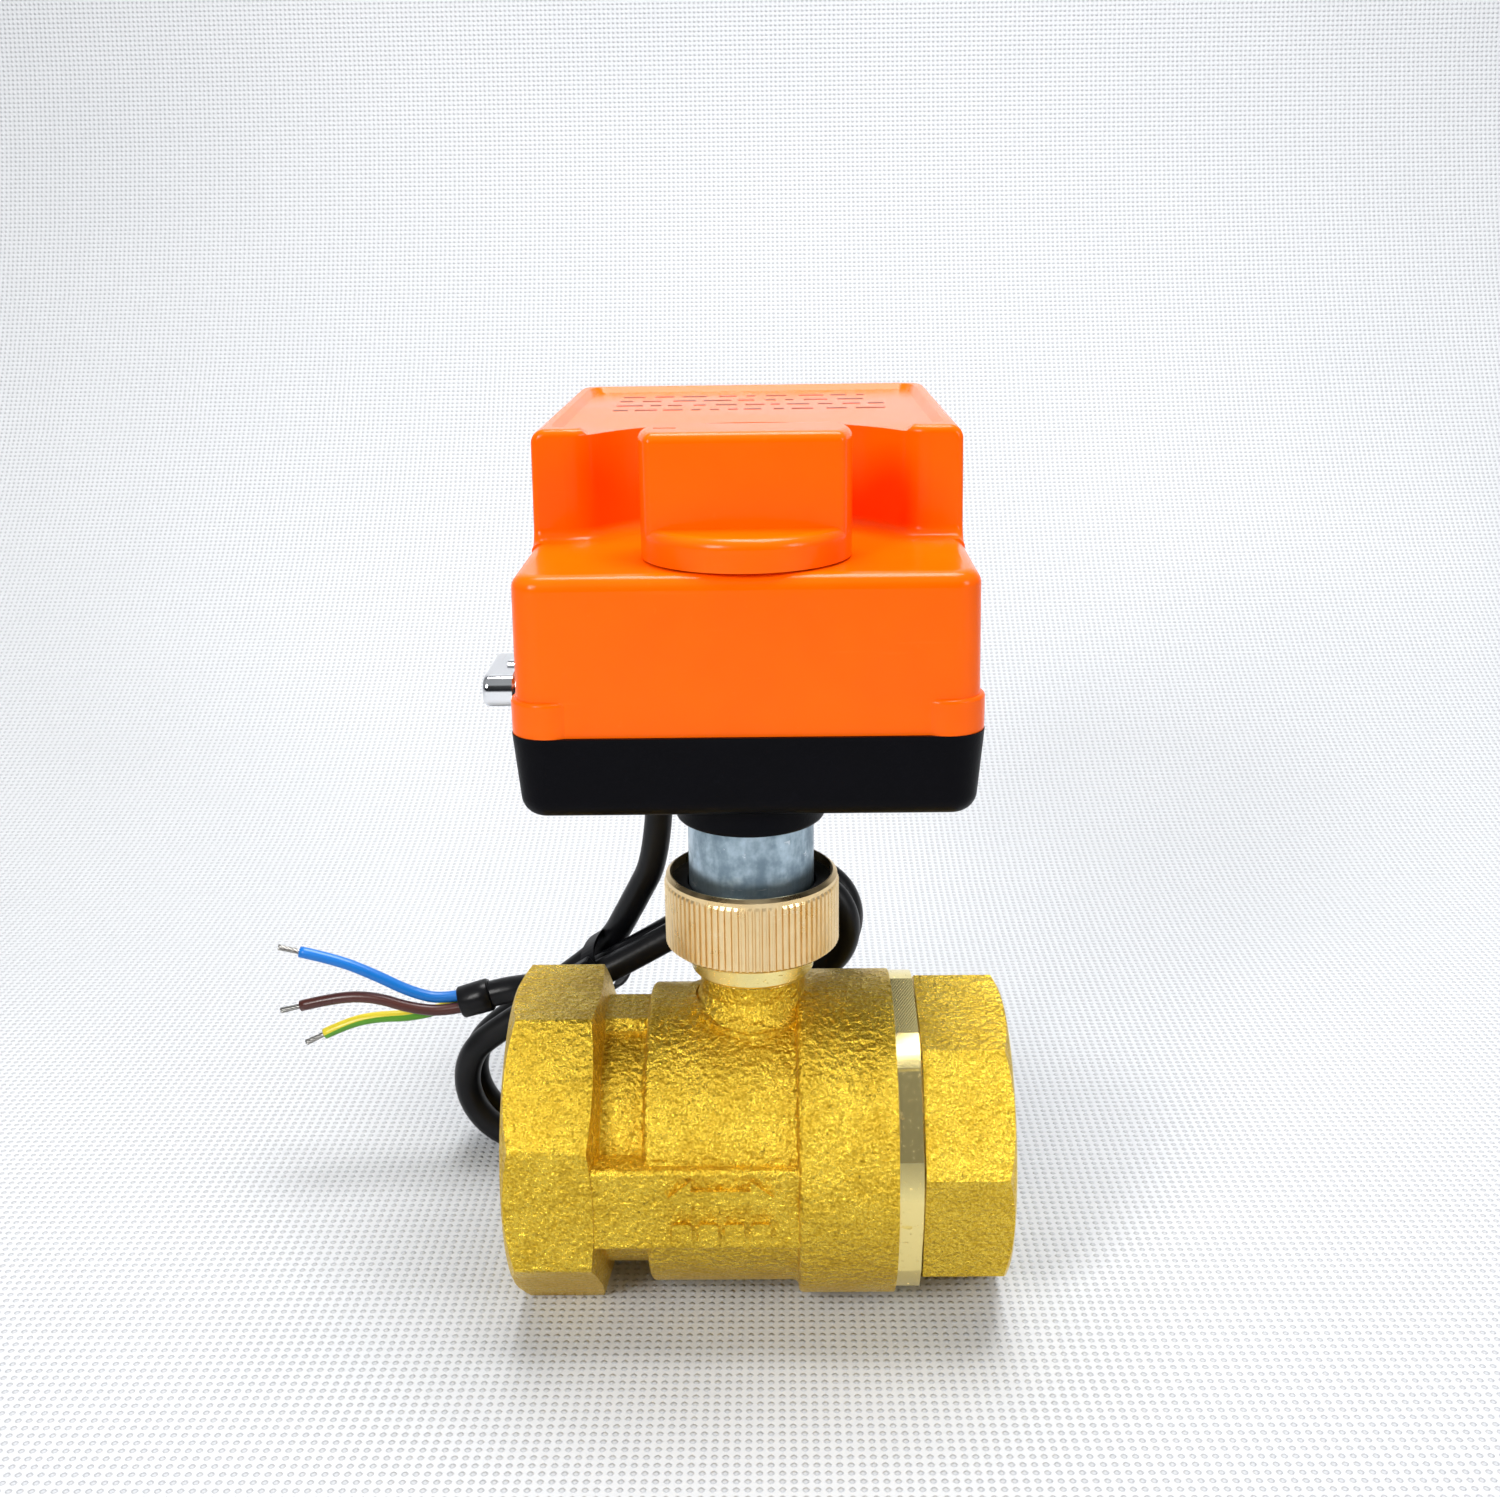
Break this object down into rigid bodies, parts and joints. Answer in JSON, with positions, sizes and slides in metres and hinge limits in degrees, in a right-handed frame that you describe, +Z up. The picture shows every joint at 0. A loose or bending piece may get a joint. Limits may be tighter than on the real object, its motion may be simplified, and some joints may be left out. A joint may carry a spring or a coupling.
{
  "type": "motorized ball valve actuator",
  "caption": "Electric quarter-turn actuator in an orange cover and black base on a brass threaded ball valve, with manual knob, union nut and a short lead.",
  "frame": {"origin": "where the flow axis crosses the stem axis, at the centre of the ball", "axes": "+X along the flow towards the end cap, +Y towards the motor end of the actuator, +Z up along the stem"},
  "size_m": [0.1301, 0.1125, 0.1424],
  "materials": {
    "brass_cast": "sand-cast",
    "brass_turned": "machined",
    "brass_nut": "satin",
    "zinc": "zinc plated",
    "steel": "bright",
    "black_plastic": "satin",
    "orange_plastic": "gloss",
    "chrome": "polished",
    "rubber": "matt",
    "ptfe": "smooth",
    "gear_plastic": "smooth",
    "plate_metal": "rolled",
    "winding": "wound copper",
    "board": "lacquered",
    "component": "moulded",
    "terminal": "moulded",
    "jacket": "satin",
    "core_blue": "satin",
    "core_brown": "satin",
    "core_earth": "two-colour",
    "tinned": "tinned"
  },
  "bodies": {
    "housing": {"valve_body": "brass_cast", "end_cap": "brass_cast", "seat_inlet": "ptfe", "seat_outlet": "ptfe", "body_seal": "rubber", "thrust_washer": "ptfe", "drive_tube": "zinc", "tube_screws": "steel", "lower_bush": "gear_plastic", "base_housing": "black_plastic", "cover": "orange_plastic", "cover_gasket": "rubber", "cover_screws": "steel", "knob_seal": "rubber", "clutch_spring": "steel", "selector_seal": "rubber", "gear_plate": "plate_metal", "upper_bush": "gear_plastic", "plate_pillars": "plate_metal", "plate_screws": "steel", "gearhead": "gear_plastic", "motor_screws": "steel", "motor_can": "plate_metal", "motor_coil": "winding", "switch_open": "component", "switch_closed": "component", "circuit_board": "board", "terminal_block": "terminal", "capacitor": "component", "relay": "component", "cable_gland": "black_plastic", "cord_lead": "jacket", "cord_hank": "jacket", "cord_tie": "black_plastic", "cord_tail": "jacket", "cord_sleeve": "jacket", "core_blue": "core_blue", "core_brown": "core_brown", "core_earth": "core_earth", "core_tips": "tinned"},
    "output_line": {"ball": "chrome", "valve_stem": "brass_turned", "stem_seals": "rubber", "output_shaft": "steel", "output_gear": "gear_plastic", "limit_cams": "gear_plastic", "manual_knob": "orange_plastic", "shaft_circlip": "steel"},
    "idler": {"idler_gear": "gear_plastic"},
    "pinion": {"motor_pinion": "steel"},
    "clutch": {"clutch_carrier": "plate_metal", "idler_axle": "steel"},
    "selector": {"selector_knob": "chrome", "selector_shaft": "steel"},
    "union": {"union_nut": "brass_nut", "retaining_ring": "rubber"},
    "rotor": {"motor_rotor": "steel"}
  },
  "joints": [
    {"name": "output_turn", "type": "hinge", "parent": "housing", "child": "output_line", "pos_m": [0, 0, 0.05], "axis": [0, 0, 1], "range_deg": [-90, 0]},
    {"name": "selector_turn", "type": "hinge", "parent": "housing", "child": "selector", "pos_m": [-0.038, 0.004, 0.0776], "axis": [1, 0, 0], "range_deg": [0, 90]},
    {"name": "clutch_slide", "type": "slide", "parent": "housing", "child": "clutch", "axis": [0, 0, 1], "range_m": [-0.0035, 0], "deforming": ["clutch_spring"]},
    {"name": "idler_spin", "type": "hinge", "parent": "clutch", "child": "idler", "pos_m": [0, 0.018, 0.077], "axis": [0, 0, 1], "range_deg": [0, 180]},
    {"name": "pinion_spin", "type": "hinge", "parent": "housing", "child": "pinion", "pos_m": [0, 0.035, 0.077], "axis": [0, 0, 1], "range_deg": [-330, 0]},
    {"name": "union_nut_turn", "type": "hinge", "parent": "housing", "child": "union", "pos_m": [0, 0, 0.04], "axis": [0, 0, 1], "continuous": true},
    {"name": "rotor_spin", "type": "hinge", "parent": "housing", "child": "rotor", "pos_m": [0, 0.058, 0.1], "axis": [0, 0, 1], "continuous": true}
  ],
  "couplings": [
    {"joint": "idler_spin", "follows": "output_turn", "ratio": -2},
    {"joint": "pinion_spin", "follows": "output_turn", "ratio": 3.6667},
    {"joint": "selector_turn", "follows": "clutch_slide", "rad_per_m": -448.8}
  ]
}
